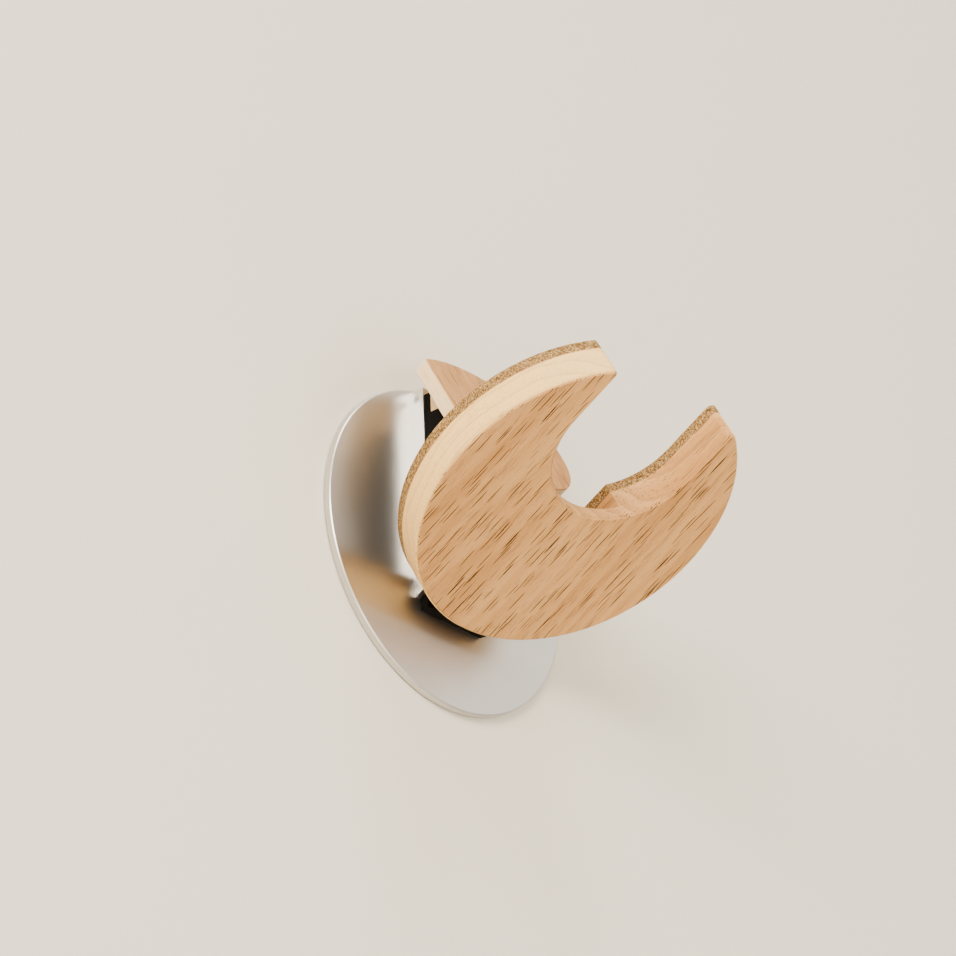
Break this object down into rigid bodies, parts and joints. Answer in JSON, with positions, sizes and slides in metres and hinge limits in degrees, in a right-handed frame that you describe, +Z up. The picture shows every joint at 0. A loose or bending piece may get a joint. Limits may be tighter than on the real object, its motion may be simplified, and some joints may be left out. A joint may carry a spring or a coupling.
{
  "type": "wall guitar hanger",
  "caption": "Wall hanger with a round steel disc, a steel bracket and a tilted round oak yoke, faced with cork and notched for an instrument's neck, with an upright back stop.",
  "frame": {"origin": "centre of the disc on the wall plane", "axes": "+Y into the wall, front towards -Y, +X to the right seen from the front, +Z up"},
  "size_m": [0.114, 0.1012, 0.1186],
  "materials": {
    "pad": "matt, soft",
    "disc_steel": "satin",
    "screw_steel": "zinc plated",
    "bracket_steel": "satin, fine grain",
    "black_plastic": "moulded, matt",
    "tongue_oak": "oiled oak",
    "dowel_wood": "bare beech",
    "yoke_oak": "oiled oak with dark pores",
    "cork": "fine granulated cork"
  },
  "bodies": {
    "root": {"wall_pad": "pad", "wall_disc": "disc_steel", "rail_screws": "screw_steel", "slide_rail": "black_plastic", "bracket": "bracket_steel", "lock_screw": "screw_steel", "wedge": "black_plastic", "upper_spine_screws": "screw_steel", "lower_spine_screws": "screw_steel", "tongue": "tongue_oak", "tongue_dowels": "dowel_wood", "yoke_plate": "yoke_oak", "leg_screws": "screw_steel", "cork_pad": "cork"}
  },
  "joints": []
}
